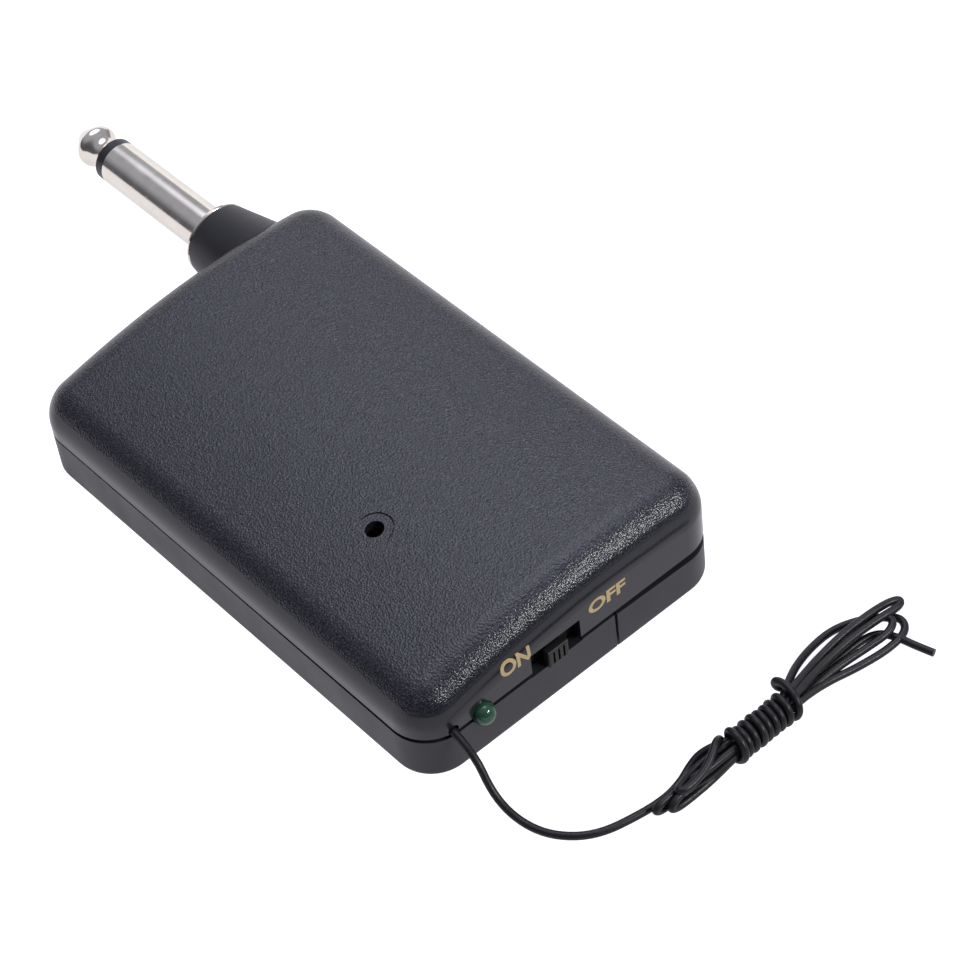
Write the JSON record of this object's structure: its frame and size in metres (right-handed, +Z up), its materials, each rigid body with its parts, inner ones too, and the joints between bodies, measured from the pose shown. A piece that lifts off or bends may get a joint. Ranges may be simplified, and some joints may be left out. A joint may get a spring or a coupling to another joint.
{
  "type": "wireless guitar transmitter",
  "caption": "Flat black plug-in radio transmitter with a phone plug at one end, and a slide switch, indicator lamp and bundled wire antenna at the other.",
  "frame": {"origin": "centre of the case's flat bottom, on the surface that it rests on", "axes": "+Z up from the flat bottom to the arched roof, +Y along the phone plug towards its tip, +X towards the battery side"},
  "size_m": [0.0587, 0.1429, 0.0169],
  "materials": {
    "case_plastic": "fine leather-grain black moulding",
    "smooth_plastic": "smooth black moulding",
    "nickel": "bright nickel plate",
    "plug_insulator": "black insulator",
    "sheet_steel": "tinned sheet steel",
    "switch_resin": "brown phenolic",
    "lamp_resin": "translucent dark green",
    "board_laminate": "paper laminate",
    "component_black": "moulded epoxy",
    "component_blue": "printed sleeve",
    "component_brown": "dipped ceramic",
    "component_tan": "lacquered resistor",
    "trimmer_blue": "moulded trimmer body",
    "copper": "enamelled copper",
    "cell_jacket": "plain printed jacket",
    "wire_black": "black insulated wire",
    "wire_red": "hook-up wire"
  },
  "bodies": {
    "root": {"top_shell": "case_plastic", "bottom_shell": "case_plastic", "case_screws": "sheet_steel", "plug_boss": "smooth_plastic", "plug_sleeve": "nickel", "plug_tip_ring": "plug_insulator", "plug_rod_tube": "plug_insulator", "plug_tip": "nickel", "plug_nut": "sheet_steel", "plug_washer": "sheet_steel", "sleeve_lug": "sheet_steel", "tip_lug": "sheet_steel", "switch_frame": "sheet_steel", "switch_base": "switch_resin", "switch_terminals": "sheet_steel", "lamp_lens": "lamp_resin", "lamp_leads": "sheet_steel", "circuit_board": "board_laminate", "board_screws": "sheet_steel", "trimmer_body": "trimmer_blue", "transistors": "component_black", "electrolytic_capacitors": "component_blue", "ceramic_capacitors": "component_brown", "resistors": "component_tan", "tank_coil": "copper", "antenna_coil": "copper", "battery_cell": "cell_jacket", "battery_spring": "nickel", "battery_plates": "nickel", "hookup_wires": "wire_red", "antenna_lead": "wire_black", "antenna_tail": "wire_black", "antenna_hank": "wire_black"},
    "battery_door": {"battery_door": "case_plastic"},
    "switch_knob": {"switch_knob": "smooth_plastic", "switch_contact": "sheet_steel"},
    "trimmer_rotor": {"trimmer_rotor": "sheet_steel"}
  },
  "joints": [
    {"name": "switch_slide", "type": "slide", "parent": "root", "child": "switch_knob", "axis": [-1, 0, 0], "range_m": [0, 0.002]},
    {"name": "door_slide", "type": "slide", "parent": "root", "child": "battery_door", "axis": [1, 0, 0], "range_m": [0, 0.022]},
    {"name": "trimmer_spin", "type": "hinge", "parent": "root", "child": "trimmer_rotor", "pos_m": [-0.0094, -0.0141, 0.0085], "axis": [0, 0, 1], "continuous": true}
  ]
}
